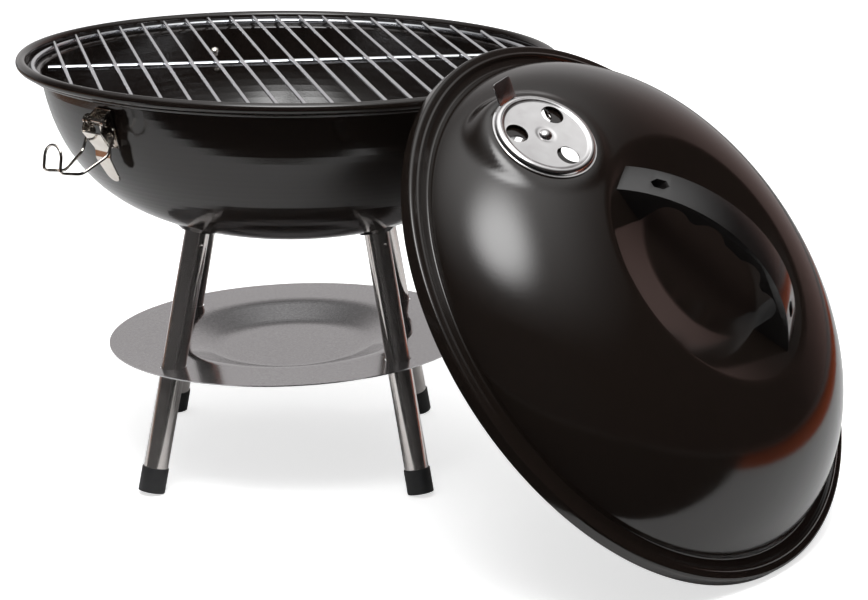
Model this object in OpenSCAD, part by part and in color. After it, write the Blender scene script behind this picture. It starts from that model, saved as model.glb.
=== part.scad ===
// Portable charcoal grill with its lid leaning against the bowl.
// A pressed bowl stands on four splayed tube legs, an ash catcher hangs between the legs,
// and three wire latches on the bowl hold the lid when it is carried.

/* [Bowl] */
// Radius over the rolled rim of the bowl
rim_r = 185; // [165:1:215]
// Height of the top of the rim above the ground
rim_z = 286; // [265:1:320]
// Radius of the roll that finishes the rim
bead_r = 3.5; // [2.8:0.1:4.5]
// Sheet thickness of the bowl
bowl_t = 1.2; // [0.8:0.1:1.6]
// Depth of the ledge that carries the cooking grate, below the rim
ledge_depth = 8.85; // [8:0.05:14]
// Width of the ledge, from the upper wall to the wall of the body
ledge_w = 9.2; // [7:0.1:13]
// Depth of the bowl from the rim to the middle of its floor sheet
bowl_depth = 120.4; // [105:0.1:135]
// Angle at which the wall leans in at the rim
wall_lean = 5.2; // [2:0.1:10]
// How far the straight pull of the wall reaches down before it turns
wall_pull = 82; // [60:1:95]
// How far the flat pull of the floor reaches out before it turns up
floor_pull = 110.5; // [90:0.5:125]

/* [Bowl vents] */
// Radius of each vent hole in the bowl floor
bowl_vent_r = 7.5; // [5:0.5:9]
// Radius of the circle that the bowl vent holes stand on
bowl_vent_ring_r = 20; // [18:0.5:24]
// Radius of the damper disc under the bowl
bowl_damper_r = 32; // [31:0.5:38]
// Turn of the bowl damper, which sets how far its holes are open
bowl_damper_turn = 20; // [0:1:60]

/* [Legs] */
// Distance from the bowl axis to each leg axis, on the ground
foot_r = 129.1; // [115:0.1:145]
// Angle of each leg away from upright
splay = 14.2; // [8:0.1:18]
// Direction of the first leg round the bowl, the others follow each quarter turn
leg_dir = 45.9; // [40:0.1:50]
// Outer diameter of the leg tube
tube_d = 16.5; // [13:0.1:19]
// Wall of the leg tube
tube_t = 1; // [0.8:0.1:1.5]
// Wall of the rubber foot cap, outside the tube
cap_t = 0.8; // [0.6:0.1:2]
// Height of the foot cap
cap_h = 17; // [12:0.5:25]
// Thickness of the floor of the foot cap
cap_floor = 2.5; // [1.5:0.1:4]
// Depth that the cap is worn flat where it meets the ground
cap_flat = 1.2; // [0.6:0.1:1.8]
// Depth of the pressed seat for each leg, below the bowl
seat_drop = 1.2; // [0.8:0.1:2.5]
// Width of the flat rim of the seat round the tube
seat_rim = 2; // [1:0.1:4]
// Diameter of the bolt that holds each leg
leg_bolt_d = 6; // [5:0.5:8]
// Length of that bolt under its head
leg_bolt_len = 16; // [13:0.5:18]
// Direction that the crimp near the top of each leg faces
crimp_dir = 304.5; // [0:0.5:360]

/* [Ash catcher] */
// Radius of the ash catcher
tray_r = 127; // [122:0.5:140]
// Height of the ash catcher above the ground, on the bowl axis
tray_z = 87.7; // [70:0.1:110]
// Tilt of the ash catcher, higher towards +X
tray_tilt_x = 2.2; // [0:0.1:2.6]
// Tilt of the ash catcher, higher towards +Y
tray_tilt_y = 0.2; // [0:0.1:1]
// Sheet thickness of the ash catcher
tray_t = 0.8; // [0.6:0.1:1.2]
// Radius of the dish pressed into the ash catcher, at its top
dish_r = 83; // [76:0.5:86]
// Radius of the flat floor of the dish
dish_floor_r = 53; // [40:0.5:65]
// Depth of the dish
dish_depth = 10; // [5:0.5:15]

/* [Cooking grate] */
// Direction that the grate bars are turned from +Y
grate_turn = 12.4; // [0:0.1:45]
// Number of bars across the cooking grate
bar_count = 19; // [13:2:21]
// Spacing of the bars
bar_pitch = 17.1; // [14:0.1:17.5]
// Diameter of each bar
bar_d = 2.5; // [2:0.1:3]
// Diameter of the wire of the ring and of the brace under the bars
ring_d = 4; // [3:0.1:4.5]
// Gap between the ring and the wall round it
ring_gap = 2.3; // [1:0.1:4]
// Distance from each end of the brace under the bars to the middle of the ring wire
brace_gap = 10.2; // [6:0.1:30]

/* [Charcoal grate] */
// Depth of the charcoal grate below the rim
coal_depth = 88; // [75:0.5:98]
// Diameter of the wire of the charcoal grate
coal_wire_d = 4; // [3:0.1:5]
// Spacing of the bars of the charcoal grate
coal_pitch = 16; // [12:0.5:25]
// Number of bars across the charcoal grate
coal_count = 13; // [7:2:13]

/* [Lid] */
// Sheet thickness of the lid
lid_t = 1.2; // [0.8:0.1:1.6]
// Gap round the rim of the bowl inside the skirt of the lid
lid_fit = 2.1; // [1:0.1:4]
// Height of the skirt of the lid
skirt_h = 8; // [6.5:0.1:12]
// Width of the flange and groove between the skirt and the dome
flange_w = 14.3; // [12:0.1:18]
// Depth of the groove beside the flange
groove_depth = 1; // [0.5:0.1:1.5]
// Height of the dome above the flange
dome_h = 65.3; // [50:0.1:85]
// Squareness of the dome towards its side, where 2 is an ellipse
dome_side = 4; // [3:0.1:5]
// Squareness of the dome towards its crown, where 2 is an ellipse
dome_crown = 1.36; // [1.3:0.01:1.6]
// Radius of the recess pressed into the crown, at its edge
recess_r = 80; // [74:0.5:84]
// Radius of the flat floor of the recess
recess_floor_r = 48; // [40:0.5:50]
// Height of the recess floor above the mouth of the lid
recess_h = 62.5; // [50:0.1:66]

/* [Lid pose] */
// Height of the top edge of the leaning lid above the rim
lid_over = 14.8; // [8:0.1:30]
// Direction that the outside of the leaning lid faces
lid_dir = -37.1; // [-60:0.1:-10]
// Distance that the lid stands to one side of the bowl axis
lid_side = 11.5; // [0:0.1:15]

/* [Lid handle] */
// Width of the handle
handle_w = 24; // [18:0.5:30]
// Height of the top of the handle above the mouth of the lid
handle_top = 105; // [98:0.5:115]
// Half length of the handle
handle_reach = 77; // [74:0.5:79]
// Thickness of the grip at its lobes
grip_t = 10; // [8:0.1:12]
// Depth of the finger valleys under the grip
valley_depth = 5; // [2:0.1:6]
// Radius of the finger valleys
valley_r = 12.5; // [9:0.1:14]
// Half width of the hand opening under the grip
hand_reach = 54; // [52:0.5:56]
// Distance of each handle bolt from the lid axis
handle_bolt_at = 59; // [58:0.5:64]
// Diameter of the handle bolts
handle_bolt_d = 5; // [4:0.5:6]
// Direction of the handle across the lid
handle_dir = 120.5; // [110:0.5:130]

/* [Lid vent] */
// Distance of the lid vent from the lid axis
vent_at = 129.7; // [126:0.1:132]
// Direction of the lid vent
vent_dir = 123.8; // [110:0.1:130]
// Tilt of the lid vent away from the lid axis
vent_tilt = 22.3; // [18:0.1:26]
// Radius of the damper disc on the lid
damper_r = 33.8; // [30:0.1:35]
// Sheet thickness of the damper discs
damper_t = 0.8; // [0.6:0.1:1.2]
// Height of the turned edge of the lid damper
damper_edge = 3.6; // [3:0.1:5]
// Radius of each vent hole
vent_r = 7.2; // [5:0.1:8]
// Radius of the circle that the vent holes stand on
vent_ring_r = 19.4; // [17:0.1:19.5]
// Direction of the first hole of the lid damper
damper_turn = 30.5; // [0:0.5:120]
// Turn of the lid damper past the open position
damper_shut = 20; // [0:1:60]
// Width of the thumb tab of the lid damper
tab_w = 16.4; // [10:0.1:18]
// Length of the thumb tab
tab_h = 14.5; // [10:0.5:18]
// Angle that the thumb tab leans outwards
tab_lean = 48; // [0:1:60]

/* [Latches] */
// Directions of the three latches round the bowl
latch_dirs = [229, 113, 2]; // [0:1:360]
// Depth of the lever pivot below the rim
pivot_depth = 22.4; // [20:0.1:28]
// Distance of the lever pivot from the wall of the bowl
pivot_out = 8; // [7:0.1:10]
// Diameter of the lever pin
pin_d = 3.4; // [2.5:0.1:4]
// Width between the ears of the latch base
base_inner_w = 12; // [10:0.1:13]
// Sheet thickness of the latch parts
latch_t = 1.2; // [1:0.1:1.5]
// Diameter of the wire of the bail
bail_d = 2; // [1.6:0.1:2.4]
// Half width of the bail at its hinge
bail_half = 12; // [11.8:0.1:14]
// Half width of the hook of the bail
hook_half = 7.8; // [6.5:0.1:8.5]

/* [Hidden] */
$fn = 96;
slip = 0.05;
seat_gap = 0.3;
touch = 0.02;
head_ease = 0.1;
legs = [0:3];

// Points on a smooth pull between four control points, and its direction there
function bend(p, t) = (1 - t) ^ 3 * p[0] + 3 * (1 - t) ^ 2 * t * p[1]
    + 3 * (1 - t) * t ^ 2 * p[2] + t ^ 3 * p[3];
function unit(v) = v / norm(v);
function bend_dir(p, t) = unit((1 - t) ^ 2 * (p[1] - p[0]) + 2 * (1 - t) * t * (p[2] - p[1])
    + t ^ 2 * (p[3] - p[2]));
function left_of(u) = [-u.y, u.x];
function turned(v, a) = [v.x * cos(a) - v.y * sin(a), v.x * sin(a) + v.y * cos(a)];
function reversed(list) = [for (i = [len(list) - 1:-1:0]) list[i]];

// A corner of a path, rounded over the length s on both sides
corner_steps = 5;
function corner(a, p, b, s) = [for (k = [0:corner_steps]) let (t = k / corner_steps)
    (1 - t) ^ 2 * (p + s * unit(a - p)) + 2 * t * (1 - t) * p + t ^ 2 * (p + s * unit(b - p))];
// A path of [x, y, rounding] corners, with its first and last points kept
function rounded(q) = let (n = len(q), p = [for (c = q) [c[0], c[1]]]) [
    for (i = [0:n - 1]) each q[i][2] == 0 ? [p[i]] : corner(p[i - 1], p[i], p[i + 1], q[i][2])];
// The path moved sideways by d, to the left of the way it runs
function beside(path, d) = [for (i = [0:len(path) - 1])
    path[i] + d * left_of(unit(path[min(i + 1, len(path) - 1)] - path[max(i - 1, 0)]))];
module sheet(path, t) polygon(concat(beside(path, t / 2), reversed(beside(path, -t / 2))));
// The same for a sheet that is spun round Z, with its end kept on the axis
function spun(path, d) = [for (p = beside(path, d)) [max(p.x, 0), p.y]];
module spun_sheet(path, t) rotate_extrude()
    polygon(concat(spun(path, t / 2), reversed(spun(path, -t / 2))));

// Shape of the bowl, in radius and height from the rim, along the middle of its sheet
wall_r = rim_r - 2 * bead_r + bowl_t / 2;
body_r = wall_r - ledge_w;
bowl_pull = [[body_r, 0], [body_r - wall_pull * sin(wall_lean), -wall_pull * cos(wall_lean)],
    [floor_pull, -bowl_depth], [0, -bowl_depth]];
function depth_t(depth, lo = 0, hi = 1, n = 24) = n == 0 ? (lo + hi) / 2 : let (m = (lo + hi) / 2)
    -bend(bowl_pull, m).y < depth ? depth_t(depth, m, hi, n - 1) : depth_t(depth, lo, m, n - 1);
function bowl_at(depth, off) = let (t = depth_t(depth))
    bend(bowl_pull, t) + off * left_of(bend_dir(bowl_pull, t));
function bowl_lean(depth) = let (d = bend_dir(bowl_pull, depth_t(depth))) atan2(-d.x, -d.y);
ledge_y = -ledge_depth - bowl_t / 2;
ledge_round = 2;
bowl_steps = 40;
body_start = depth_t(-ledge_y + 1.6 * ledge_round);
roll_r = bead_r - bowl_t / 2;
roll_mid = [rim_r - bead_r, -bead_r];
roll_end = -95;
roll_path = [for (a = [roll_end:12.5:180]) roll_mid + roll_r * [cos(a), sin(a)]];
ledge_in = bowl_at(-ledge_y, 0).x;
ledge_path = concat(
    corner([wall_r, 0], [wall_r, ledge_y], [0, ledge_y], ledge_round),
    corner([wall_r, ledge_y], [ledge_in, ledge_y], bend(bowl_pull, body_start), ledge_round));
body_path = [for (i = [0:bowl_steps]) bend(bowl_pull, body_start + (1 - body_start) * i / bowl_steps)];
bowl_path = concat(roll_path, ledge_path, body_path);

// Where each leg meets the bowl, along the leg from the ground
function leg_r(z) = foot_r - z * tan(splay);
function seat_t(lo = 0, hi = 1, n = 24) = n == 0 ? (lo + hi) / 2 : let (m = (lo + hi) / 2,
    p = bend(bowl_pull, m) + bowl_t / 2 * left_of(bend_dir(bowl_pull, m)))
    p.x > leg_r(rim_z + p.y) ? seat_t(m, hi, n - 1) : seat_t(lo, m, n - 1);
seat_at = bend(bowl_pull, seat_t()) + bowl_t / 2 * left_of(bend_dir(bowl_pull, seat_t()));
leg_len = (rim_z + seat_at.y) / cos(splay) - seat_drop;
cap_r = tube_d / 2 + cap_t;
cap_z = (cap_r * sin(splay) - cap_flat) / cos(splay);
seat_r = tube_d / 2 + seat_rim;
seat_flare = 4;
washer_t = 1.2;
leg_washer_r = leg_bolt_d * 1.3;

// Shape of the lid, in radius and height from its mouth, along the middle of its sheet
lid_r = rim_r + lid_fit + lid_t;
skirt_r = lid_r - lid_t / 2;
dome_r = skirt_r - flange_w;
dome_steps = 30;
function dome_at(a) = [dome_r * cos(a) ^ (2 / dome_side), skirt_h + dome_h * sin(a) ^ (2 / dome_crown)];
function dome_height(r) = skirt_h + dome_h * (1 - (r / dome_r) ^ dome_side) ^ (1 / dome_crown);
dome_end = acos(((recess_r + 5) / dome_r) ^ (dome_side / 2));
dome_foot = 5;
dome_path = [for (i = [0:dome_steps]) dome_at(dome_foot + (dome_end - dome_foot) * i / dome_steps)];
recess_edge = [recess_r, dome_height(recess_r + 4) - 1.2];
flange_path = rounded([[skirt_r, 0, 0], [skirt_r, skirt_h, 1.5], [skirt_r - 6.3, skirt_h, 0.5],
    [skirt_r - 7.3, skirt_h - groove_depth, 0.5], [dome_r, skirt_h - groove_depth, 1.5],
    concat(dome_path[0], 0)]);
recess_path = rounded([concat(dome_path[dome_steps], 0), [recess_edge.x, recess_edge.y, 2.5],
    [recess_floor_r, recess_h, 3], [0, recess_h, 0]]);
lid_path = concat(flange_path, [for (i = [1:dome_steps - 1]) dome_path[i]], recess_path);

// The lid stands on the ground and leans on the rim, as near as its inner side allows
lid_rise = acos((rim_z + lid_over) / (2 * lid_r));
lid_mid_z = lid_r * cos(lid_rise);
lean_gap = 0.3;
lean_step = 3;
lid_seat = concat(flange_path, [for (i = [1:12]) dome_path[i]]);
function span_dist(p, a, b) = let (ab = b - a, t = max(0, min(1, ((p - a) * ab) / (ab * ab))))
    norm(p - a - t * ab);
function rim_gap(d) = min([for (psi = [-54:2:54]) let (
    q = [roll_mid.x * cos(psi) - d, roll_mid.x * sin(psi) - lid_side, rim_z - bead_r - lid_mid_z],
    s = q.x * cos(lid_rise) + q.z * sin(lid_rise),
    r = norm([q.y, q.z * cos(lid_rise) - q.x * sin(lid_rise)]))
    each [for (i = [0:len(lid_seat) - 2]) span_dist([r, s], lid_seat[i], lid_seat[i + 1])]])
    - bead_r - lid_t / 2;
function lean_near(d) = rim_gap(d) < lean_gap ? d : lean_near(d - lean_step);
function lean_at(lo, hi, n = 12) = n == 0 ? hi : let (m = (lo + hi) / 2)
    rim_gap(m) < lean_gap ? lean_at(m, hi, n - 1) : lean_at(lo, m, n - 1);
lean_first = lean_near(roll_mid.x + (rim_z - bead_r - lid_mid_z) * tan(lid_rise) + 20);
lid_out = lean_at(lean_first, lean_first + lean_step);
lid_mid = [lid_out * cos(lid_dir) - lid_side * sin(lid_dir),
    lid_out * sin(lid_dir) + lid_side * cos(lid_dir), lid_mid_z];
lid_axis = [cos(lid_rise) * cos(lid_dir), cos(lid_rise) * sin(lid_dir), sin(lid_rise)];

// The latch, measured from the lever pin: outwards, then up
pivot = [bowl_at(pivot_depth, bowl_t / 2).x + pivot_out, rim_z - pivot_depth];
rivet_depth = 27;
rivet_step = 10.9;
rivet_d = 4;
plate_up = 12.5;
plate_down = 14;
latch_rivet_head = 7.5;
wall_angle = bowl_lean(rivet_depth);
wall_point = bowl_at(rivet_depth, bowl_t / 2 + touch);
// Inner side of the wall behind the latch base, at the height s along the base
function wall_back(s) = let (p = bowl_at(rivet_depth - s * cos(wall_angle), -bowl_t / 2) - wall_point)
    turned(p, wall_angle).x;
pin_on_wall = turned([pivot.x - wall_point.x, pivot.y - rim_z - wall_point.y], wall_angle);
base_outer = base_inner_w / 2 + latch_t;
lever_inner = base_outer + 1;
lever_outer = lever_inner + latch_t;
pin_end = lever_outer + 0.3;
tongue_end = -36;
tongue_r = 5.5;
latch_cut = 60;
bail_hinge = [-3, -7.9];
web_path = rounded([[4.7, -6.9, 0], [-4.7, -19, 1.5], [-4.7, -25, 1.5], [-15.4, -41.4, 0]]);
// The bail in its own plane, from its hinge to the top of the hook
bail_kink = [5.2, -12.5];
bail_end = [23.7, -22];
bail_foot = [41.3, -18.9];
hook_top = [39, -2];

// The whole grill is moved so that the middle of its outline stands over the origin
function lid_reach(k) = max([for (p = beside(lid_path, -lid_t / 2))
    p.y * k + abs(p.x) * sqrt(1 - k * k)]);
back_reach = (pivot.x + bail_hinge.x + bail_foot.x + bail_d / 2) * sin(latch_dirs[1])
    + hook_half * abs(cos(latch_dirs[1]));
middle = [(lid_mid.x + lid_reach(lid_axis.x) - rim_r) / 2,
    (lid_mid.y - lid_reach(-lid_axis.y) + max(rim_r, back_reach)) / 2, 0];

leg_names = ["back_right", "back_left", "front_left", "front_right"];
latch_names = ["front", "back", "side"];

// Places
module grill() translate(-middle) children();
module at_rim() translate([0, 0, rim_z]) children();
module at_leg(i) rotate([0, 0, leg_dir + 90 * i]) translate([foot_r, 0, 0]) rotate([0, -splay, 0])
    children();
module at_latch(k) rotate([0, 0, latch_dirs[k] - 90]) translate([0, pivot.x, pivot.y]) children();
module at_latch_wall() translate([0, wall_point.x - pivot.x, rim_z + wall_point.y - pivot.y])
    rotate([-wall_angle, 0, 0]) children();
module at_lid() translate(lid_mid) rotate([0, 0, lid_dir]) rotate([0, 90 - lid_rise, 0])
    rotate([0, 0, 90]) children();
module at_vent() rotate([0, 0, vent_dir]) translate([vent_at, 0, dome_height(vent_at)])
    rotate([0, vent_tilt, 0]) children();
module at_handle() rotate([0, 0, handle_dir]) children();
module at_tray() translate([0, 0, tray_z]) rotate([tray_tilt_y, -tray_tilt_x, 0]) children();

// Plates seen from the side or from the front, in the frame of a latch
module from_side(w) translate([-w / 2, 0, 0]) rotate([90, 0, 90]) linear_extrude(w) children();
module from_front(d) translate([0, d / 2, 0]) rotate([90, 0, 0]) linear_extrude(d) children();
module along_x(r, l) rotate([0, 90, 0]) cylinder(r = r, h = l, center = true);

// A round wire between two points, and a round ring
module wire(a, b, d) {
    v = b - a;
    translate(a) rotate([0, acos(v.z / norm(v)), atan2(v.y, v.x)]) cylinder(d = d, h = norm(v));
}
module ring(r, d) rotate_extrude() translate([r, 0]) circle(d = d, $fn = 48);
// A rivet along Z with its upper head at the height top and its lower head under bottom
module rivet(d, bottom, top, head) {
    translate([0, 0, bottom]) cylinder(d = d, h = top - bottom);
    translate([0, 0, top]) rivet_head(head);
    translate([0, 0, bottom]) mirror([0, 0, 1]) rivet_head(head);
}
module rivet_head(w) {
    h = w / 4;
    curve = (w * w / 4 + h * h) / (2 * h);
    intersection() {
        translate([0, 0, h - curve]) sphere(r = curve);
        cylinder(d = w, h = h);
    }
}

// Bowl, its vent holes, the pressed leg seats and the holes for the rivets of the latches
module bowl_inside() rotate_extrude() polygon(concat([[0, ledge_y]],
    [[bowl_at(-ledge_y, 0).x, ledge_y]], spun(body_path, -bowl_t / 2)));
module leg_seat(r, lift) translate([0, 0, leg_len + lift])
    cylinder(r1 = r, r2 = r + seat_flare * 1.5, h = seat_flare);
module bowl() color("#1a1716") difference() {
    union() {
        at_rim() spun_sheet(bowl_path, bowl_t);
        difference() {
            for (i = legs) at_leg(i) leg_seat(seat_r, 0);
            at_rim() bowl_inside();
        }
    }
    for (i = legs) at_leg(i) {
        leg_seat(seat_r - bowl_t * 0.6, bowl_t);
        cylinder(d = leg_bolt_d + 0.6, h = leg_len + 10);
    }
    at_rim() translate([0, 0, -bowl_depth]) {
        for (a = [0:120:240]) rotate([0, 0, a]) translate([bowl_vent_ring_r, 0, -5])
            cylinder(r = bowl_vent_r, h = 10);
        cylinder(d = rivet_d + 2 * slip, h = 10, center = true);
    }
    for (k = [0:2]) at_latch(k) at_latch_wall() for (s = [0, -rivet_step])
        translate([0, 0, s]) rotate([90, 0, 0]) cylinder(d = rivet_d + 2 * slip, h = 16, center = true);
}

// Damper under the bowl, turned about its rivet
bowl_floor_z = rim_z - bowl_depth - bowl_t / 2;
damper_rivet_head = 9;
bowl_tab_w = 12;
bowl_tab_h = 7;
bowl_tab_end = bowl_damper_r + 14;
module bowl_damper() color("#b9b9b6") translate([0, 0, bowl_floor_z - seat_gap - damper_t])
    rotate([0, 0, bowl_damper_turn]) difference() {
        union() {
            cylinder(r = bowl_damper_r, h = damper_t);
            translate([-bowl_tab_w / 2, 0, 0]) cube([bowl_tab_w, bowl_tab_end, damper_t]);
            translate([-bowl_tab_w / 2, bowl_tab_end - damper_t, -bowl_tab_h])
                cube([bowl_tab_w, damper_t, bowl_tab_h + damper_t]);
        }
        for (a = [0:120:240]) rotate([0, 0, a]) translate([bowl_vent_ring_r, 0, -1])
            cylinder(r = bowl_vent_r, h = 4);
        cylinder(d = rivet_d + 2 * slip, h = 10, center = true);
    }
module bowl_damper_rivet() color("#cfcfcd") rivet(rivet_d, bowl_floor_z - 2 * seat_gap - damper_t,
    bowl_floor_z + bowl_t + head_ease, damper_rivet_head);

// Leg tube with its crimp, cap, threaded insert, washer and bolt
insert_len = 18;
crimp_down = 9;
crimp_r = 2;
crimp_sink = 0.9;
module leg(i) color("#8d8783") at_leg(i) difference() {
    translate([0, 0, cap_z + cap_floor]) cylinder(d = tube_d, h = leg_len - cap_z - cap_floor);
    translate([0, 0, cap_z]) cylinder(d = tube_d - 2 * tube_t, h = leg_len);
    rotate([0, 0, crimp_dir - leg_dir - 90 * i])
        translate([tube_d / 2 + crimp_r - crimp_sink, 0, leg_len - crimp_down]) sphere(r = crimp_r);
}
module foot_cap(i) color("#161616") difference() {
    at_leg(i) difference() {
        translate([0, 0, cap_z]) cylinder(r = cap_r, h = cap_h);
        translate([0, 0, cap_z + cap_floor]) cylinder(d = tube_d, h = cap_h);
    }
    rotate([0, 0, leg_dir + 90 * i]) translate([foot_r, 0, -cap_h]) cylinder(r = cap_r * 2, h = cap_h);
}
module leg_insert(i) at_leg(i) translate([0, 0, leg_len - insert_len]) difference() {
    cylinder(d = tube_d - 2 * tube_t, h = insert_len);
    translate([0, 0, -1]) cylinder(d = leg_bolt_d + 2 * slip, h = insert_len + 2);
}
module leg_inserts() color("#9a9a98") for (i = legs) leg_insert(i);
washer_z = leg_len + bowl_t + touch;
module leg_washers() color("#c4c4c2") for (i = legs) at_leg(i) translate([0, 0, washer_z]) difference() {
    cylinder(r = leg_washer_r, h = washer_t);
    translate([0, 0, -1]) cylinder(d = leg_bolt_d + 0.4, h = washer_t + 2);
}
module leg_bolts() color("#c4c4c2") for (i = legs) at_leg(i) translate([0, 0, washer_z + washer_t]) {
    translate([0, 0, -leg_bolt_len]) cylinder(d = leg_bolt_d, h = leg_bolt_len);
    cylinder(d = leg_bolt_d * 1.9, h = leg_bolt_d * 0.6);
}

// Ash catcher, held where the splayed legs pass through its holes
tray_path = rounded([[tray_r, 0, 0], [dish_r, 0, 6], [dish_floor_r, -dish_depth, 6],
    [0, -dish_depth, 0]]);
tray_hole_gap = 0.6;
module ash_catcher() color("#a9a6a4") difference() {
    at_tray() spun_sheet(tray_path, tray_t);
    for (i = legs) at_leg(i) cylinder(d = tube_d + 2 * tray_hole_gap, h = leg_len);
}

// Grates: a ring, bars laid on it and a brace under the bars
grate_ring_r = wall_r - bowl_t / 2 - ring_gap - ring_d / 2;
grate_ring_z = rim_z - ledge_depth + seat_gap + ring_d / 2;
bar_z = grate_ring_z + ring_d / 2 + bar_d / 2 + touch;
brace_half = grate_ring_r - brace_gap;
bar_past_ring = 0.8;
coal_ring = bowl_at(coal_depth, -bowl_t / 2 - coal_wire_d / 2 - seat_gap);
coal_z = rim_z + coal_ring.y;
coal_bar_z = coal_z + coal_wire_d + touch;
module bars(count, pitch, d, r, z) for (i = [0:count - 1]) let (x = (i - (count - 1) / 2) * pitch,
    half = sqrt(r * r - x * x)) wire([x, -half, z], [x, half, z], d);
module cooking_grate_ring() color("#c9cbce") translate([0, 0, grate_ring_z]) ring(grate_ring_r, ring_d);
module cooking_grate_bars() color("#c9cbce") rotate([0, 0, grate_turn])
    bars(bar_count, bar_pitch, bar_d, grate_ring_r + bar_past_ring, bar_z);
module cooking_grate_brace() color("#c9cbce") rotate([0, 0, grate_turn])
    wire([-brace_half, 0, grate_ring_z], [brace_half, 0, grate_ring_z], ring_d);
module charcoal_grate_ring() color("#77777a") translate([0, 0, coal_z]) ring(coal_ring.x, coal_wire_d);
module charcoal_grate_bars() color("#77777a")
    bars(coal_count, coal_pitch, coal_wire_d, coal_ring.x + bar_past_ring, coal_bar_z);
module charcoal_grate_brace() color("#77777a") let (half = coal_ring.x - coal_wire_d / 2 - touch)
    wire([-half, 0, coal_z], [half, 0, coal_z], coal_wire_d);

// Latches: a base on the wall, a lever on its pin, and a wire bail that hooks over the lid
module latch_base(k) color("#7a706a") at_latch(k) at_latch_wall() difference() {
    union() {
        translate([-base_outer, 0, -plate_down]) cube([2 * base_outer, latch_t, plate_down + plate_up]);
        for (s = [-1, 1]) translate([s * (base_inner_w + latch_t) / 2, 0, 0]) from_side(latch_t) {
            translate(pin_on_wall) circle(r = pin_d);
            polygon([[0, -1], [0, plate_up], [pin_on_wall.x, pin_on_wall.y + pin_d],
                [pin_on_wall.x + pin_d * 0.9, pin_on_wall.y - pin_d * 0.4],
                [pin_on_wall.x, pin_on_wall.y - pin_d]]);
        }
    }
    translate([0, pin_on_wall.x, pin_on_wall.y]) along_x(pin_d / 2 + touch, latch_cut);
    for (s = [0, -rivet_step]) translate([0, 0, s]) rotate([90, 0, 0])
        cylinder(d = rivet_d + 2 * touch, h = 16, center = true);
}
module latch_rivets() color("#d5d3d0") for (k = [0:2]) at_latch(k) at_latch_wall()
    for (s = [0, -rivet_step]) translate([0, 0, s]) rotate([-90, 0, 0])
        rivet(rivet_d, wall_back(s - latch_rivet_head / 2) - head_ease, latch_t + touch, latch_rivet_head);
module latch_pins() color("#d9d4cf") for (k = [0:2]) at_latch(k) {
    along_x(pin_d / 2, 2 * pin_end + 0.2);
    for (s = [-1, 1]) translate([s * (pin_end + latch_t / 2), 0, 0]) along_x(pin_d * 0.8, latch_t);
}
module latch_lever(k) color("#d8d0c6") at_latch(k) difference() {
    union() {
        intersection() {
            from_side(2 * lever_outer) sheet(web_path, latch_t);
            from_front(latch_cut) {
                polygon([[-lever_outer, -5], [lever_outer, -5], [7.2, -19], [6.8, -25],
                    [tongue_r, tongue_end], [-tongue_r, tongue_end], [-6.8, -25], [-7.2, -19]]);
                translate([0, tongue_end]) circle(r = tongue_r);
            }
        }
        for (s = [-1, 1]) translate([s * (lever_inner + lever_outer) / 2, 0, 0]) from_side(latch_t) {
            circle(r = pin_d * 1.15);
            translate(bail_hinge) circle(r = bail_d * 1.5);
            polygon([[-pin_d, 0], [pin_d, 0], [4.9, -6.5], [-0.5, -13.7], [-5.2, -9.8]]);
        }
    }
    along_x(pin_d / 2 + slip, latch_cut);
    translate([0, bail_hinge.x, bail_hinge.y]) along_x(bail_d / 2 + slip, latch_cut);
}
// The wire of the bail, swept from the hinge in one ear of the lever to the hinge in the other
wire_sides = 12;
bail_round = 3;
bail_lap = 0.3;
bail_half_path = let (up = unit(hook_top - bail_foot), shoulder = hook_top - hook_half * up)
    concat([[bail_half, 0, 0]], [for (p = [
        [bail_half, bail_kink.x, bail_kink.y, bail_round],
        [hook_half + 0.3, bail_end.x, bail_end.y, bail_round],
        [hook_half, bail_foot.x, bail_foot.y, bail_round]]) p],
    [for (a = [0:15:75]) concat(hook_half * cos(a), shoulder + hook_half * sin(a) * up)]);
function corner3(a, p, b, s) = [for (k = [0:3]) let (t = k / 3)
    (1 - t) ^ 2 * (p + s * unit(a - p)) + 2 * t * (1 - t) * p + t ^ 2 * (p + s * unit(b - p))];
function xyz(p) = [p[0], p[1], p[2]];
bail_side_path = [for (i = [0:len(bail_half_path) - 1]) let (p = bail_half_path[i])
    each len(p) == 4 ? corner3(xyz(bail_half_path[i - 1]), xyz(p), xyz(bail_half_path[i + 1]), p[3])
    : [xyz(p)]];
bail_turn = 2;
bail_path = concat([[bail_half - bail_turn - bail_lap, 0, 0]],
    corner3([0, 0, 0], [bail_half, 0, 0], xyz(bail_side_path[1]), bail_turn),
    [for (i = [1:len(bail_side_path) - 1]) bail_side_path[i]], [[0, hook_top.x, hook_top.y]]);
bail_whole = concat(bail_path, [for (i = [len(bail_path) - 2:-1:0]) let (p = bail_path[i])
    [-p.x, p.y, p.z]]);
// A tube along a path, each ring square to the path and turned as little as may be
function along(path, i) = unit(path[min(i + 1, len(path) - 1)] - path[max(i - 1, 0)]);
function square_to(n, u) = unit(n - (n * u) * u);
function frames(path, i = 0, n = [0, 0, 1]) = i == len(path) ? []
    : let (m = square_to(n, along(path, i))) concat([m], frames(path, i + 1, m));
module tube(path, d) {
    m = frames(path);
    n = len(path);
    points = [for (i = [0:n - 1]) let (w = cross(along(path, i), m[i]))
        for (k = [0:wire_sides - 1]) let (a = 360 * k / wire_sides)
            path[i] + d / 2 * (m[i] * cos(a) + w * sin(a))];
    faces = concat([[for (k = [0:wire_sides - 1]) k]],
        [for (i = [0:n - 2]) for (k = [0:wire_sides - 1]) let (a = i * wire_sides, b = (k + 1) % wire_sides)
            each [[a + k, a + wire_sides + b, a + b], [a + k, a + wire_sides + k, a + wire_sides + b]]],
        [[for (k = [wire_sides - 1:-1:0]) (n - 1) * wire_sides + k]]);
    polyhedron(points, faces);
}
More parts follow.
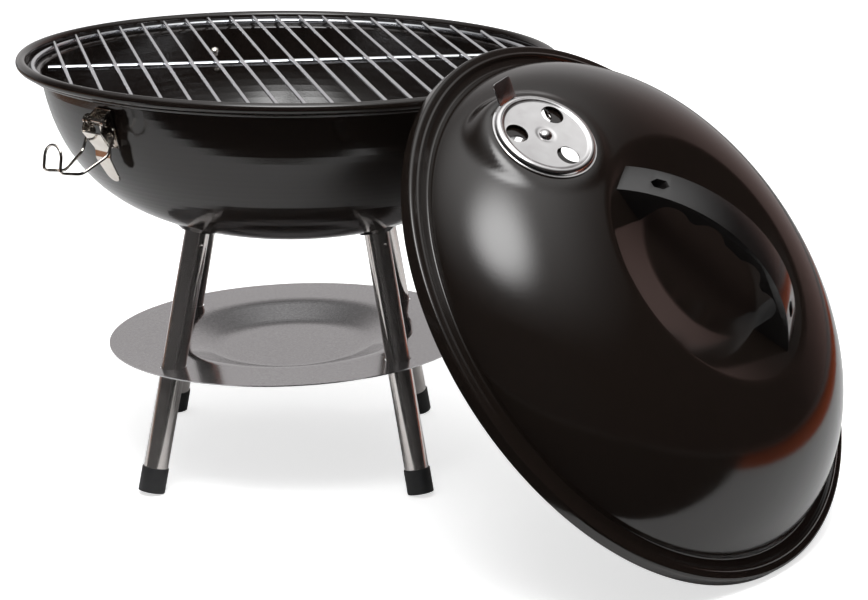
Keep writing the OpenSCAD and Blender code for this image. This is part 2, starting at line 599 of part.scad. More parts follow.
module latch_bail(k) color("#c8c6c4") at_latch(k) translate([0, bail_hinge.x, bail_hinge.y]) {
    tube(bail_whole, bail_d - 2 * touch);
    for (s = [-1, 1]) translate([s * (lever_inner + bail_half - bail_turn) / 2, 0, 0])
        along_x(bail_d / 2, bail_half - bail_turn - lever_inner);
}

// Lid with its pressed vent land, vent holes and bolt holes
land_r = damper_r + 3;
land_drop = 0.4;
land_depth = 9;
module lid_fill(off) rotate_extrude() polygon(concat([[0, 0]], spun(lid_path, off)));
module vent_land(r) at_vent() translate([0, 0, -land_drop - land_depth])
    cylinder(r1 = r + land_depth * 0.7, r2 = r, h = land_depth);
module lid_shell() color("#1c1614") at_lid() difference() {
    union() {
        lid_fill(-lid_t / 2);
        vent_land(land_r);
    }
    difference() {
        translate([0, 0, -touch]) lid_fill(lid_t / 2);
        at_vent() translate([0, 0, -land_drop - lid_t]) cylinder(r = land_r, h = 20);
    }
    at_vent() translate([0, 0, -land_drop]) cylinder(r = land_r, h = 20);
    translate([0, 0, -lid_t]) vent_land(land_r - lid_t * 0.4);
    translate([0, 0, -20]) cylinder(r = lid_r - lid_t, h = 20);
    at_vent() {
        for (a = [0:120:240]) rotate([0, 0, damper_turn + damper_shut + a])
            translate([vent_ring_r, 0, 0]) cylinder(r = vent_r, h = 30, center = true);
        cylinder(d = rivet_d + 2 * slip, h = 30, center = true);
    }
    at_handle() for (s = [-1, 1]) translate([s * handle_bolt_at, 0, 50])
        cylinder(d = handle_bolt_d + 0.5, h = 40);
}

// Lid damper: a pressed disc with a turned edge, three holes and a thumb tab
damper_rim = 4;
damper_mid = damper_edge - 1.4;
tab_turn = -55.5;
damper_path = rounded([[damper_r - damper_t / 2, seat_gap, 0], [damper_r - damper_t / 2, damper_edge, 1.2],
    [damper_r - damper_rim, damper_edge, 0.8], [damper_r - damper_rim - 2, damper_mid, 0.8],
    [rivet_d / 2 + slip, damper_mid, 0]]);
damper_face = damper_mid + damper_t / 2;
module lid_damper() color("#cbc9c7") at_lid() at_vent() translate([0, 0, -land_drop]) {
    difference() {
        spun_sheet(damper_path, damper_t);
        for (a = [0:120:240]) rotate([0, 0, damper_turn + a]) translate([vent_ring_r, 0, 0])
            cylinder(r = vent_r, h = 20, center = true);
    }
    rotate([0, 0, damper_turn + tab_turn]) translate([damper_r - 2, 0, damper_edge + damper_t / 4])
        rotate([0, tab_lean, 0]) translate([0, -tab_w / 2, 0]) cube([damper_t, tab_w, tab_h]);
}
module lid_damper_rivet() color("#d9d8d6") at_lid() at_vent() translate([0, 0, -land_drop]) {
    rivet(rivet_d, -lid_t - touch, damper_face + seat_gap, 2 * rivet_d);
    translate([0, 0, touch]) cylinder(d = damper_rivet_head, h = damper_face - damper_t - seat_gap);
}

// Handle: an arched grip with four finger valleys, standing in the recess of the crown
handle_r = (handle_reach ^ 2 + (handle_top - recess_edge.y) ^ 2) / (2 * (handle_top - recess_edge.y));
handle_mid = handle_top - handle_r;
valley_dirs = [-27.6, -11.2, 11.2, 27.6];
nut_w = handle_bolt_d * 1.6;
nut_h = handle_bolt_d * 0.8;
nut_seat = recess_edge.y + 4;
slope = (recess_edge.y - recess_h) / (recess_edge.x - recess_floor_r);
function recess_height(r) = recess_h + (r - recess_floor_r) * slope;
bolt_seat = recess_height(handle_bolt_at - handle_bolt_d) - lid_t * 0.6 - 0.15;
module handle_outline() difference() {
    intersection() {
        translate([0, handle_mid]) circle(r = handle_r, $fn = 180);
        translate([-handle_reach, recess_h - 5]) square([2 * handle_reach, 60]);
    }
    intersection() {
        translate([0, handle_mid]) circle(r = handle_r - grip_t, $fn = 180);
        polygon([[-hand_reach, 0], [hand_reach, 0], [hand_reach - 4, handle_top],
            [4 - hand_reach, handle_top]]);
    }
    for (a = valley_dirs) translate([0, handle_mid]) rotate(a)
        translate([0, handle_r - grip_t + valley_depth - valley_r]) circle(r = valley_r);
}
module lid_handle() color("#171514") at_lid() at_handle() difference() {
    translate([0, handle_w / 2, 0]) rotate([90, 0, 0]) linear_extrude(handle_w) handle_outline();
    lid_fill(-lid_t / 2 - touch);
    for (s = [-1, 1]) translate([s * handle_bolt_at, 0, 0]) {
        cylinder(d = handle_bolt_d + 2 * slip, h = handle_top);
        translate([0, 0, nut_seat]) cylinder(d = (nut_w + 0.5) / cos(30), h = 60, $fn = 6);
    }
}
module at_bolts() at_lid() at_handle() for (s = [-1, 1]) translate([s * handle_bolt_at, 0, 0]) children();
module handle_bolts() color("#b5b3b0") at_bolts() {
    translate([0, 0, bolt_seat - washer_t]) cylinder(d = handle_bolt_d, h = nut_seat + nut_h + 1 - bolt_seat);
    translate([0, 0, bolt_seat - washer_t]) mirror([0, 0, 1]) rivet_head(handle_bolt_d * 2);
}
module handle_washers() color("#b5b3b0") at_bolts() translate([0, 0, bolt_seat - washer_t]) difference() {
    cylinder(r = handle_bolt_d, h = washer_t);
    translate([0, 0, -1]) cylinder(d = handle_bolt_d + 0.3, h = washer_t + 2);
}
module handle_nuts() color("#b5b3b0") at_bolts() translate([0, 0, nut_seat + touch]) difference() {
    cylinder(d = nut_w / cos(30), h = nut_h, $fn = 6);
    translate([0, 0, -1]) cylinder(d = handle_bolt_d + 2 * slip, h = nut_h + 2);
}

grill() {
    bowl();
    bowl_damper();
    bowl_damper_rivet();
    for (i = legs) {
        leg(i);
        foot_cap(i);
    }
    leg_inserts();
    leg_washers();
    leg_bolts();
    ash_catcher();
    cooking_grate_ring();
    cooking_grate_bars();
    cooking_grate_brace();
    charcoal_grate_ring();
    charcoal_grate_bars();
    charcoal_grate_brace();
    for (k = [0:2]) {
        latch_base(k);
        latch_lever(k);
        latch_bail(k);
    }
    latch_rivets();
    latch_pins();
    lid_shell();
    lid_damper();
    lid_damper_rivet();
    lid_handle();
    handle_bolts();
    handle_washers();
    handle_nuts();
}
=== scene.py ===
import math

import bpy
from mathutils import Matrix, Vector


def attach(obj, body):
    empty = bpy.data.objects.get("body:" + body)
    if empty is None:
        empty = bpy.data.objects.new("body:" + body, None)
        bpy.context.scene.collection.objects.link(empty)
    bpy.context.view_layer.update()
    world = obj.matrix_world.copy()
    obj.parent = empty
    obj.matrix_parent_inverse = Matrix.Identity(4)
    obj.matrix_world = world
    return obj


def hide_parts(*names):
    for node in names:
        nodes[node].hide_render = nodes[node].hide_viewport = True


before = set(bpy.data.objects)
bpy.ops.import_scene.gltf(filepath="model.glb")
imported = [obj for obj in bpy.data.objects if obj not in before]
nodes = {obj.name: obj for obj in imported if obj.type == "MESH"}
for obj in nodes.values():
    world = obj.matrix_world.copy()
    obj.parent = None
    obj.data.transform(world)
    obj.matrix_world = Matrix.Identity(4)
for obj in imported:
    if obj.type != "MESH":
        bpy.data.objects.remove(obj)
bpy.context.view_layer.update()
MM = 0.001


# The camera stands in front of the grill and looks a little down on it, tipped by a hair,
# as the photograph was taken. It has a long lens, so the grill shows little perspective.
CAMERA_AT = (0.00533, -1.61995, 0.57918)
CAMERA_DOWN, CAMERA_ROLL = 15.533, 0.608
CAMERA_LENS, CAMERA_SENSOR = 103.31, 36
CAMERA_SEES = 50

camera = bpy.data.objects.new("camera", bpy.data.cameras.new("camera"))
bpy.context.collection.objects.link(camera)
camera.location = CAMERA_AT
camera.rotation_mode = "ZYX"
camera.rotation_euler = (math.radians(90 - CAMERA_DOWN), 0, math.radians(CAMERA_ROLL))
camera.data.lens = CAMERA_LENS
camera.data.sensor_width = CAMERA_SENSOR
camera.data.clip_end = CAMERA_SEES
bpy.context.scene.camera = camera
bpy.context.scene.view_settings.view_transform = "Standard"


# The floor is a wide sheet of matt white paper under the feet. It is lit like the grill and keeps
# its shadow, and for the camera it gets lighter away from the grill, until it meets the room.
FLOOR_HALF, FLOOR_Z = 8.0, -0.0002
PAPER_WHITE, PAPER_ROUGH, PAPER_SHINE = (0.86, 0.86, 0.86, 1), 0.9, 0.1
NEAR_FROM, NEAR_LIFT = 0.35, 0.66
FAR_FROM, FAR_LIFT = 1.10, 0.98


def deselect():
    """Nothing is selected, so that the next operator acts on the new piece alone."""
    if bpy.context.object and bpy.context.object.mode != "OBJECT":
        bpy.ops.object.mode_set(mode="OBJECT")
    bpy.ops.object.select_all(action="DESELECT")


def new_material(name):
    """A material with nodes, its tree and its principled shader."""
    material = bpy.data.materials.new(name)
    material.use_nodes = True
    tree = material.node_tree
    return material, tree, tree.nodes["Principled BSDF"]


def wear(obj, material):
    """The piece takes this material alone."""
    obj.data.materials.clear()
    obj.data.materials.append(material)


def feed(tree, socket, value):
    """A socket takes a plain value, or what another node gives."""
    if isinstance(value, bpy.types.NodeSocket):
        tree.links.new(value, socket)
    else:
        socket.default_value = value


def number(tree, operation, *values):
    """The number that a maths node makes of these values."""
    node = tree.nodes.new("ShaderNodeMath")
    node.operation = operation
    for socket, value in zip(node.inputs, values):
        feed(tree, socket, value)
    return node.outputs["Value"]


def vector(tree, operation, *values, output="Vector"):
    """The vector, or the plain value, that a vector maths node makes of these values."""
    node = tree.nodes.new("ShaderNodeVectorMath")
    node.operation = operation
    for socket, value in zip(node.inputs, values):
        feed(tree, socket, value)
    return node.outputs[output]


def ramp(tree, value, start, end, low, high, curve="SMOOTHSTEP"):
    """A number that goes from low to high while the value goes from start to end."""
    node = tree.nodes.new("ShaderNodeMapRange")
    node.interpolation_type = curve
    feed(tree, node.inputs["Value"], value)
    for name, limit in (("From Min", start), ("From Max", end), ("To Min", low), ("To Max", high)):
        node.inputs[name].default_value = limit
    return node.outputs["Result"]


def straight_view(tree):
    """One where the camera looks straight or through glass, and nothing elsewhere."""
    path = tree.nodes.new("ShaderNodeLightPath")
    return number(tree, "MAXIMUM", path.outputs["Is Camera Ray"], path.outputs["Is Transmission Ray"])


deselect()
bpy.ops.mesh.primitive_plane_add(size=2 * FLOOR_HALF, location=(0, 0, FLOOR_Z))
floor = bpy.context.object
floor.name = "floor"
paper, tree, shader = new_material("floor_paper")
shader.inputs["Base Color"].default_value = PAPER_WHITE
shader.inputs["Roughness"].default_value = PAPER_ROUGH
shader.inputs["Specular IOR Level"].default_value = PAPER_SHINE
shader.inputs["Emission Color"].default_value = (1, 1, 1, 1)
coord = tree.nodes.new("ShaderNodeTexCoord")
away = vector(tree, "LENGTH", coord.outputs["Object"], output="Value")
lift = ramp(tree, away, NEAR_FROM, FAR_FROM, NEAR_LIFT, FAR_LIFT)
feed(tree, shader.inputs["Emission Strength"], number(tree, "MULTIPLY", straight_view(tree), lift))
wear(floor, paper)


# Three cards lie on the floor as painted reflections, which only polished faces see: a black one in
# front of the grill, which paints the dark half of the studio into them, and a brown and a red one far
# out to its sides, which paint warm reflections.
CARD_Z = 0.0004
CARDS = {
    "front": ((0, -2.285), (7.0, 4.0), (0.004, 0.004, 0.004, 1)),
    "left": ((-2.55, 0.60), (3.4, 1.765), (0.34, 0.18, 0.11, 1)),
    "right": ((2.45, 0.60), (3.4, 1.765), (0.60, 0.11, 0.03, 1)),
}

for where, (at, size, tone) in CARDS.items():
    deselect()
    bpy.ops.mesh.primitive_plane_add(size=1, location=(*at, CARD_Z))
    card = bpy.context.object
    card.name = "reflection_card_" + where
    card.scale = (*size, 1)
    bpy.ops.object.transform_apply(location=True, rotation=True, scale=True)
    painted_reflection, tree, shader = new_material("felt_" + where)
    shader.inputs["Base Color"].default_value = tone
    shader.inputs["Roughness"].default_value = 1.0
    shader.inputs["Specular IOR Level"].default_value = 0.0
    wear(card, painted_reflection)
    # The card is hidden from the camera, from diffuse light and from shadows, so it only paints a
    # reflection.
    card.visible_camera = False
    card.visible_diffuse = False
    card.visible_shadow = False
    card.visible_transmission = False


# The room is white where the camera looks. Polished faces see a pale wall behind the grill, which
# gets warmer to the right and fades upwards, and the dark half of the studio on the camera's side.
# Everything gets a little even light.
WALL_FROM, DARK_SIDE = 0.38, 0.035
WALL_TO, WALL_WHITE = 0.90, 0.60
FADE_FROM, FADE_TO, CEILING = 0.35, 0.80, 0.10
WARM_FROM, WARM_TO = 0.15, 0.75
WALL_TINT, WALL_WARM = (1.0, 0.97, 0.97, 1), (0.68, 0.44, 0.40, 1)
EVEN_LIGHT = 0.16

world = bpy.data.worlds.new("studio")
bpy.context.scene.world = world
world.use_nodes = True
tree = world.node_tree
tree.nodes.clear()
coord = tree.nodes.new("ShaderNodeTexCoord")
split = tree.nodes.new("ShaderNodeSeparateXYZ")
feed(tree, split.inputs[0], coord.outputs["Generated"])
fade = ramp(tree, split.outputs["Z"], FADE_FROM, FADE_TO, 1.0, CEILING)
wall = ramp(tree, split.outputs["Y"], WALL_FROM, WALL_TO, DARK_SIDE, WALL_WHITE)
tint = tree.nodes.new("ShaderNodeMix")
tint.data_type = "RGBA"
tint.inputs["A"].default_value = WALL_TINT
tint.inputs["B"].default_value = WALL_WARM
feed(tree, tint.inputs["Factor"], ramp(tree, split.outputs["X"], WARM_FROM, WARM_TO, 0.0, 1.0))


def backdrop(colour, strength):
    """What a background of this colour and strength gives."""
    node = tree.nodes.new("ShaderNodeBackground")
    feed(tree, node.inputs["Color"], colour)
    feed(tree, node.inputs["Strength"], strength)
    return node.outputs[0]


def either(choice, otherwise, chosen):
    """The chosen background where the choice is one, and the other one elsewhere."""
    node = tree.nodes.new("ShaderNodeMixShader")
    feed(tree, node.inputs["Fac"], choice)
    feed(tree, node.inputs[1], otherwise)
    feed(tree, node.inputs[2], chosen)
    return node.outputs[0]


soft = backdrop((1, 1, 1, 1), EVEN_LIGHT)
room = backdrop(tint.outputs["Result"], number(tree, "MULTIPLY", fade, wall))
white = backdrop((1, 1, 1, 1), 1)
path = tree.nodes.new("ShaderNodeLightPath")
reflected = either(path.outputs["Is Glossy Ray"], soft, room)
output = tree.nodes.new("ShaderNodeOutputWorld")
feed(tree, output.inputs["Surface"], either(straight_view(tree), reflected, white))


# One large cloth panel hangs over the grill. It glows most in front of the grill, where the flash
# behind it stands, and fades away evenly towards its edges.
PANEL_Z, PANEL_SIZE = 1.80, 5.0
SPREAD_AT, SPREAD_REACH, SPREAD_EDGE, SPREAD_GLOW = (0.0, -0.10), 1.30, 1, 2.0
FLASH_AT, FLASH_REACH, FLASH_EDGE, FLASH_GLOW = (-0.06, -0.88), 0.56, 1.6, 9.5

data = bpy.data.lights.new("panel", "AREA")
data.size = PANEL_SIZE
data.energy = math.pi * PANEL_SIZE ** 2
data.use_nodes = True
panel = bpy.data.objects.new("panel", data)
bpy.context.collection.objects.link(panel)
panel.location = (0, 0, PANEL_Z)
tree = data.node_tree
tree.nodes.clear()
place = tree.nodes.new("ShaderNodeNewGeometry")
glows = []
for at, reach, edge, strength in ((SPREAD_AT, SPREAD_REACH, SPREAD_EDGE, SPREAD_GLOW),
                                  (FLASH_AT, FLASH_REACH, FLASH_EDGE, FLASH_GLOW)):
    middle = (0.5 + at[0] / PANEL_SIZE, 0.5 + at[1] / PANEL_SIZE, 0)
    away = vector(tree, "SUBTRACT", place.outputs["Parametric"], middle)
    away = vector(tree, "MULTIPLY", away, (PANEL_SIZE / reach, PANEL_SIZE / reach, 0))
    square = vector(tree, "DOT_PRODUCT", away, away, output="Value")
    steep = number(tree, "POWER", square, edge)
    bell = number(tree, "EXPONENT", number(tree, "MULTIPLY", steep, -1))
    glows.append(number(tree, "MULTIPLY", bell, strength))
emission = tree.nodes.new("ShaderNodeEmission")
feed(tree, emission.inputs["Strength"], number(tree, "ADD", *glows))
output = tree.nodes.new("ShaderNodeOutputLight")
feed(tree, output.inputs["Surface"], emission.outputs[0])


# The bowl is pressed from sheet steel and fired with gloss black enamel, as the lid is. Its damper
# is a bare steel disc, held under the floor of the bowl by a zinc rivet that it turns on.
NOISE_DETAIL = 4
NOISE_LOW, NOISE_HIGH = 0.3, 0.7
BUMP_DEPTH = 0.0002


def surface(name, dark, light, rough, scale, bump, metal=0.0):
    """A finish whose tone and roughness wander between two values, with a fine bump."""
    material, tree, shader = new_material(name)
    shader.inputs["Metallic"].default_value = metal
    coord = tree.nodes.new("ShaderNodeTexCoord")
    noise = tree.nodes.new("ShaderNodeTexNoise")
    noise.inputs["Scale"].default_value = scale
    noise.inputs["Detail"].default_value = NOISE_DETAIL
    feed(tree, noise.inputs["Vector"], coord.outputs["Object"])
    wander = noise.outputs["Fac"]
    feed(tree, shader.inputs["Roughness"], ramp(tree, wander, NOISE_LOW, NOISE_HIGH, *rough, "LINEAR"))
    relief = tree.nodes.new("ShaderNodeBump")
    relief.inputs["Strength"].default_value = bump
    relief.inputs["Distance"].default_value = BUMP_DEPTH
    feed(tree, relief.inputs["Height"], wander)
    feed(tree, shader.inputs["Normal"], relief.outputs[0])
    tones = tree.nodes.new("ShaderNodeValToRGB")
    for end, spot, tone in zip(tones.color_ramp.elements, (NOISE_LOW, NOISE_HIGH), (dark, light)):
        end.position = spot
        end.color = (*tone, 1)
    feed(tree, tones.inputs["Fac"], wander)
    feed(tree, shader.inputs["Base Color"], tones.outputs["Color"])
    return material


def dress(material, *names):
    """These CAD nodes take the material."""
    for name in names:
        wear(nodes[name], material)


enamel = surface("black_enamel", (0.0065, 0.0045, 0.0036), (0.0105, 0.0075, 0.006),
                 rough=(0.09, 0.15), scale=900, bump=0.12)
sheet_steel = surface("tray_steel", (0.38, 0.37, 0.375), (0.50, 0.49, 0.495),
                      rough=(0.09, 0.16), scale=600, bump=0.03, metal=0.88)
zinc = surface("fastener_zinc", (0.55, 0.55, 0.55), (0.66, 0.66, 0.67),
               rough=(0.25, 0.4), scale=200, bump=0.08, metal=1.0)
dress(enamel, "bowl")
dress(sheet_steel, "bowl_damper")
dress(zinc, "bowl_damper_rivet")


# The four legs are chromed steel tubes with a crimp near the top. Each stands in a pressed seat
# of the bowl, held by a bolt through a washer into a threaded insert in the tube.
CORNERS = ("back_right", "back_left", "front_left", "front_right")
tube_chrome = surface("leg_chrome", (0.60, 0.56, 0.54), (0.66, 0.63, 0.61),
                      rough=(0.11, 0.16), scale=160, bump=0.01, metal=0.92)
dress(tube_chrome, *("leg_" + corner for corner in CORNERS))
dress(zinc, "leg_inserts", "leg_washers", "leg_bolts")


# The ash catcher is a pressed dish of bare bright steel. The legs go through its four holes, and
# it sits where they have spread so far that it can't slide down any further.
dress(sheet_steel, "ash_catcher")


# The grates are steel wire, each a ring with straight bars and a brace welded under them. The
# cooking grate is chromed and rests on the ledge of the bowl. The charcoal grate is plain wire,
# and rests on the wall below.
wire_chrome = surface("wire_chrome", (0.62, 0.63, 0.66), (0.74, 0.75, 0.78),
                      rough=(0.12, 0.25), scale=120, bump=0.06, metal=1.0)
wire_plain = surface("coal_wire", (0.30, 0.30, 0.31), (0.42, 0.42, 0.43),
                     rough=(0.30, 0.45), scale=150, bump=0.1, metal=1.0)
for wire in ("ring", "bars", "brace"):
    dress(wire_chrome, "cooking_grate_" + wire)
    dress(wire_plain, "charcoal_grate_" + wire)


# The lid is one pressed sheet of enamelled steel: a short skirt, a flange with a groove beside it,
# the dome, and a recess in its crown for the handle. It was spun from one outline, and the flat
# land of the vent was pressed into its dome afterwards.
LID_MIDDLE = (129.931, -93.506, 150.400)
LID_RISE, LID_TURN = 36.991, -37.1
LID_SHEET, LID_STEPS = 1.2, 300
SKIRT_R, SKIRT_H = 187.7, 8.0
BEAD_FROM, BEAD_TO, BEAD_H = 4.6, 6.2, 0.8
GROOVE_FROM, GROOVE_DEPTH = 8.2, 1.0
DOME_R, DOME_H = 173.4, 65.3
DOME_SIDE, DOME_CROWN = 4.0, 1.36
DOME_FROM, DOME_STEPS = 5, 52
CROWN_R = 85.0
RECESS_R, RECESS_EDGE_H = 80.0, 69.44
RECESS_FLOOR_R, RECESS_H, RECESS_STEPS = 48.0, 62.5, 10
VENT_AT, VENT_TURN, VENT_TILT = 129.7, 123.8, 22.3
LAND_R, LAND_FADE_IN, LAND_FADE_OUT, LAND_DROP = 34.8, 9.0, 13.0, 0.4
LAND_REACH = -40.0
VENT_RING_R, VENT_R, VENT_SIDES, VENT_CUT = 19.4, 7.2, 72, 12.0
DAMPER_TURN, DAMPER_OPEN = 30.5, 20.0
CORNER_STEPS = 5
SAME_SPOT = 0.00001
CREASE = 35


def dome_height(r):
    """Height of the dome over the mouth of the lid, at the radius r."""
    return SKIRT_H + DOME_H * (1 - (r / DOME_R) ** DOME_SIDE) ** (1 / DOME_CROWN)


def eased(points, steps):
    """A path whose corners (radius, height, rounding) are rounded off."""
    path = []
    for k, (x, y, soft_by) in enumerate(points):
        p = Vector((x, y))
        if not soft_by:
            path.append(p)
            continue
        a = p + soft_by * (Vector(points[k - 1][:2]) - p).normalized()
        b = p + soft_by * (Vector(points[k + 1][:2]) - p).normalized()
        for i in range(steps + 1):
            t = i / steps
            path.append((1 - t) ** 2 * a + 2 * t * (1 - t) * p + t ** 2 * b)
    return path


def spun(name, outline, steps):
    """A sheet spun round Z from an outline of (radius, height) points in millimetres."""
    deselect()
    bpy.ops.mesh.primitive_plane_add(size=MM)
    piece = bpy.context.object
    piece.name = name
    bpy.ops.object.mode_set(mode="EDIT")
    bpy.ops.mesh.merge(type="CENTER")
    bpy.ops.transform.translate(value=(outline[0][0] * MM, 0, outline[0][1] * MM))
    for a, b in zip(outline, outline[1:]):
        move = ((b[0] - a[0]) * MM, 0, (b[1] - a[1]) * MM)
        bpy.ops.mesh.extrude_region_move(TRANSFORM_OT_translate={"value": move})
    bpy.ops.mesh.select_all(action="SELECT")
    bpy.ops.mesh.spin(steps=steps, angle=2 * math.pi, center=(0, 0, 0), axis=(0, 0, 1))
    bpy.ops.mesh.select_all(action="SELECT")
    bpy.ops.mesh.remove_doubles(threshold=SAME_SPOT)
    bpy.ops.mesh.normals_make_consistent(inside=False)
    bpy.ops.object.mode_set(mode="OBJECT")
    return piece


def take(piece):
    """The piece alone is selected and active."""
    deselect()
    piece.select_set(True)
    bpy.context.view_layer.objects.active = piece


def modify(piece, kind, **settings):
    """One modifier, set and applied."""
    take(piece)
    modifier = piece.modifiers.new(kind.lower(), kind)
    for key, value in settings.items():
        setattr(modifier, key, value)
    bpy.ops.object.modifier_apply(modifier=modifier.name)


def set_down(piece, place):
    """The piece goes to its place, which goes into its mesh."""
    take(piece)
    piece.matrix_world = place
    bpy.ops.object.transform_apply(location=True, rotation=True, scale=True)


def pierce(piece, place, turn):
    """Three round holes are cut through the piece, on a ring round the vent's middle."""
    for i in range(3):
        a = math.radians(turn + 120 * i)
        deselect()
        bpy.ops.mesh.primitive_cylinder_add(vertices=VENT_SIDES, radius=VENT_R * MM, depth=VENT_CUT * MM)
        hole = bpy.context.object
        on_ring = Vector((math.cos(a), math.sin(a), 0)) * VENT_RING_R * MM
        set_down(hole, place @ Matrix.Translation(on_ring))
        modify(piece, "BOOLEAN", operation="DIFFERENCE", object=hole, solver="EXACT")
        bpy.data.objects.remove(hole)


to_lid = (Matrix.Translation(Vector(LID_MIDDLE) * MM)
          @ Matrix.Rotation(math.radians(LID_TURN), 4, "Z")
          @ Matrix.Rotation(math.radians(90 - LID_RISE), 4, "Y")
          @ Matrix.Rotation(math.radians(90), 4, "Z"))
to_vent = (Matrix.Rotation(math.radians(VENT_TURN), 4, "Z")
           @ Matrix.Translation(Vector((VENT_AT, 0, dome_height(VENT_AT))) * MM)
           @ Matrix.Rotation(math.radians(VENT_TILT), 4, "Y"))

dome_end = math.degrees(math.acos((CROWN_R / DOME_R) ** (DOME_SIDE / 2)))
dome = []
for i in range(DOME_STEPS + 1):
    a = math.radians(DOME_FROM + (dome_end - DOME_FROM) * i / DOME_STEPS)
    dome.append((DOME_R * math.cos(a) ** (2 / DOME_SIDE),
                 SKIRT_H + DOME_H * math.sin(a) ** (2 / DOME_CROWN)))
rim = eased([
    (SKIRT_R, 0, 0),
    (SKIRT_R, SKIRT_H, 1.5),
    (SKIRT_R - BEAD_FROM, SKIRT_H, 0.6),
    (SKIRT_R - BEAD_TO, SKIRT_H + BEAD_H, 0.9),
    (SKIRT_R - GROOVE_FROM, SKIRT_H - GROOVE_DEPTH, 0.7),
    (DOME_R, SKIRT_H - GROOVE_DEPTH, 2.2),
    (*dome[0], 0),
], CORNER_STEPS)
crown = eased([
    (*dome[-1], 0),
    (RECESS_R, RECESS_EDGE_H, 2.5),
    (RECESS_FLOOR_R, RECESS_H, 3),
    (0, RECESS_H, 0),
], CORNER_STEPS)
middle = crown.pop()
inner = [crown[-1].lerp(middle, t / RECESS_STEPS) for t in range(1, RECESS_STEPS)]
outline = [tuple(p) for p in rim] + dome[1:-1] + [tuple(p) for p in (*crown, *inner, middle)]
lid = spun("lid_shell_pressed", outline, LID_STEPS)
if lid.data.polygons[0].normal.x < 0:
    lid.data.flip_normals()

from_vent = to_vent.inverted()
for v in lid.data.vertices:
    p = from_vent @ v.co
    away = math.hypot(p.x, p.y) / MM
    fade = LAND_FADE_IN
    if away > 0:
        fade += (LAND_FADE_OUT - LAND_FADE_IN) * (p.x / MM / away + 1) / 2
    if away < LAND_R + fade and p.z > LAND_REACH * MM:
        t = min(1, max(0, (LAND_R + fade - away) / fade))
        t = t * t * (3 - 2 * t)
        p.z += t * (-(LAND_DROP + LID_SHEET / 2) * MM - p.z)
        v.co = to_vent @ p
modify(lid, "SOLIDIFY", thickness=LID_SHEET * MM, offset=0.0, use_quality_normals=True)
pierce(lid, to_vent, DAMPER_TURN + DAMPER_OPEN)
set_down(lid, to_lid)
bpy.ops.object.shade_smooth_by_angle(angle=math.radians(CREASE))
dress(enamel, "lid_shell")
wear(lid, enamel)
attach(lid, "lid")
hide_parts("lid_shell")


# The damper of the lid is a disc of polished steel with a rolled edge, three holes and a thumb tab
# bent up from its edge. It turns on a steel rivet through the middle of the vent land.
DISC_SHEET, DISC_STEPS, DISC_CORNER_STEPS = 0.8, 160, 4
DISC_OUTLINE = [
    (33.7, 0.45, 0), (32.4, 0.5, 0.5), (31.9, 2.6, 0.9), (30.2, 3.7, 1.1), (28.3, 3.2, 0.9),
    (27.4, 2.2, 0.9), (7.0, 2.2, 0.8), (5.4, 1.9, 0.6), (2.1, 1.9, 0),
]
TAB_W, TAB_H = 16.4, 14.1
TAB_TURN, TAB_AT, TAB_BASE, TAB_LEAN = -55.5, 31.4, 3.0, 48.0
TAB_ROUND, TAB_ROUND_STEPS = 2.2, 6
TAB_SOFT, TAB_SOFT_STEPS, TAB_SOFT_ANGLE = 0.2, 2, 50

damper_steel = surface("damper_steel", (0.60, 0.585, 0.585), (0.66, 0.65, 0.65),
                       rough=(0.16, 0.24), scale=120, bump=0.03, metal=1.0)
disc = spun("lid_damper_pressed", [tuple(p) for p in eased(DISC_OUTLINE, DISC_CORNER_STEPS)], DISC_STEPS)
if disc.data.polygons[0].normal.z < 0:
    disc.data.flip_normals()
modify(disc, "SOLIDIFY", thickness=DISC_SHEET * MM, offset=0.0)
pierce(disc, Matrix.Identity(4), DAMPER_TURN)

deselect()
bpy.ops.mesh.primitive_cube_add(size=1)
tab = bpy.context.object
tab.scale = (DISC_SHEET * MM, TAB_W * MM, TAB_H * MM)
tab.location = (0, 0, TAB_H / 2 * MM)
bpy.ops.object.transform_apply(location=True, rotation=True, scale=True)
mesh = tab.data
bpy.ops.object.mode_set(mode="EDIT")
bpy.ops.mesh.select_mode(type="EDGE")
bpy.ops.mesh.select_all(action="DESELECT")
bpy.ops.object.mode_set(mode="OBJECT")
for edge in mesh.edges:
    a, b = (mesh.vertices[v].co for v in edge.vertices)
    edge.select = abs(a.x - b.x) > DISC_SHEET / 2 * MM and a.z > TAB_H / 2 * MM
bpy.ops.object.mode_set(mode="EDIT")
bpy.ops.mesh.bevel(offset=TAB_ROUND * MM, segments=TAB_ROUND_STEPS, affect="EDGES")
bpy.ops.object.mode_set(mode="OBJECT")
modify(tab, "BEVEL", width=TAB_SOFT * MM, segments=TAB_SOFT_STEPS, limit_method="ANGLE",
       angle_limit=math.radians(TAB_SOFT_ANGLE))
set_down(tab, Matrix.Rotation(math.radians(DAMPER_TURN + TAB_TURN), 4, "Z")
         @ Matrix.Translation(Vector((TAB_AT, 0, TAB_BASE)) * MM)
         @ Matrix.Rotation(math.radians(TAB_LEAN), 4, "Y"))
take(disc)
tab.select_set(True)
bpy.ops.object.join()
set_down(disc, to_lid @ to_vent @ Matrix.Translation((0, 0, -LAND_DROP * MM)))
bpy.ops.object.shade_smooth_by_angle(angle=math.radians(CREASE))
dress(damper_steel, "lid_damper", "lid_damper_rivet")
wear(disc, damper_steel)
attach(disc, "lid_vent")
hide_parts("lid_damper")


# The handle is moulded in black plastic with a satin skin, and its edges are softened as a mould
# leaves them. It stands in the recess of the crown, on two bolts with washers and nuts.
HANDLE_SOFT = 0.8
SOFT_STEPS, SOFT_ANGLE, SOFT_CREASE = 3, 28, 38
SAME_POINT, SAME_PLANE = 0.000005, 0.6


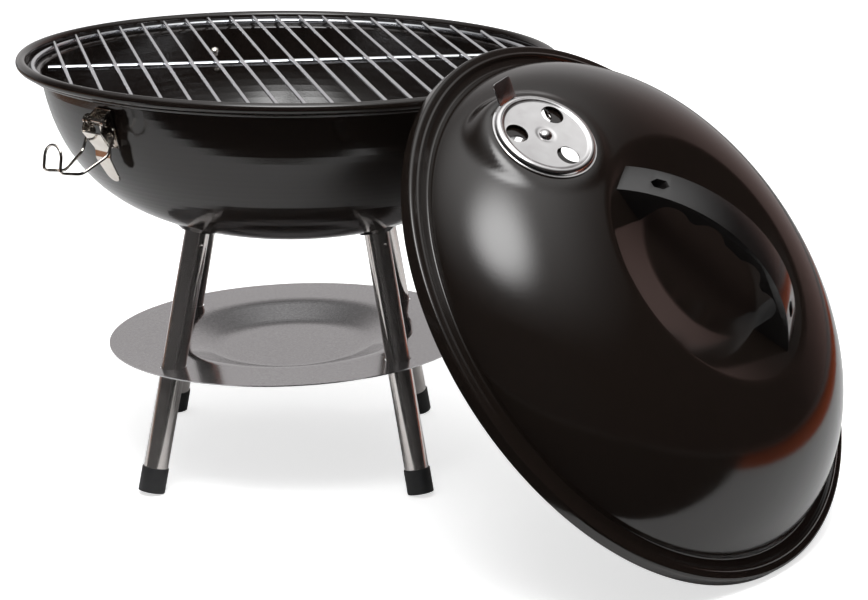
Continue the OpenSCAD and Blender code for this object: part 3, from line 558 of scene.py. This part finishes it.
def softened(name, width, piece_name, body, material):
    """A copy of a CAD node with its edges rounded, which stands for the node."""
    node = nodes[name]
    piece = bpy.data.objects.new(piece_name, node.data.copy())
    bpy.context.collection.objects.link(piece)
    take(piece)
    bpy.ops.object.mode_set(mode="EDIT")
    bpy.ops.mesh.select_all(action="SELECT")
    bpy.ops.mesh.customdata_custom_splitnormals_clear()
    bpy.ops.mesh.remove_doubles(threshold=SAME_POINT)
    bpy.ops.mesh.dissolve_limited(angle_limit=math.radians(SAME_PLANE))
    bpy.ops.object.mode_set(mode="OBJECT")
    modify(piece, "BEVEL", width=width * MM, segments=SOFT_STEPS, limit_method="ANGLE",
           angle_limit=math.radians(SOFT_ANGLE))
    bpy.ops.object.shade_smooth_by_angle(angle=math.radians(SOFT_CREASE))
    wear(node, material)
    wear(piece, material)
    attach(piece, body)
    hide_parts(name)


handle_plastic = surface("handle_plastic", (0.006, 0.0052, 0.005), (0.010, 0.009, 0.0088),
                         rough=(0.17, 0.23), scale=500, bump=0.08)
softened("lid_handle", HANDLE_SOFT, "lid_handle_moulded", "lid", handle_plastic)
dress(zinc, "handle_bolts", "handle_washers", "handle_nuts")


# Each latch is bent from nickelled sheet: a base on two rivets at the wall of the bowl, a lever on
# a riveted pin between its ears, and a wire bail that swings in the lever and hooks over the lid.
LEVER_SOFT, BASE_SOFT = 0.25, 0.2

latch_nickel = surface("latch_nickel", (0.66, 0.61, 0.56), (0.76, 0.72, 0.67),
                       rough=(0.08, 0.18), scale=150, bump=0.05, metal=1.0)
dress(latch_nickel, "latch_rivets", "latch_pins")
for latch in ("front", "back", "side"):
    dress(latch_nickel, "latch_bail_" + latch)
    softened("latch_lever_" + latch, LEVER_SOFT, "latch_lever_pressed_" + latch, "lever_" + latch,
             latch_nickel)
    softened("latch_base_" + latch, BASE_SOFT, "latch_base_pressed_" + latch, "root",
             latch_nickel)


# The foot caps are moulded black rubber, pushed over the ends of the legs. Their lower edges are
# worn flat where they bear on the ground.
CAP_SOFT = 0.5

rubber = surface("cap_rubber", (0.014, 0.014, 0.015), (0.024, 0.024, 0.025),
                 rough=(0.45, 0.6), scale=200, bump=0.15)
for corner in CORNERS:
    softened("foot_cap_" + corner, CAP_SOFT, "foot_cap_moulded_" + corner, "root", rubber)
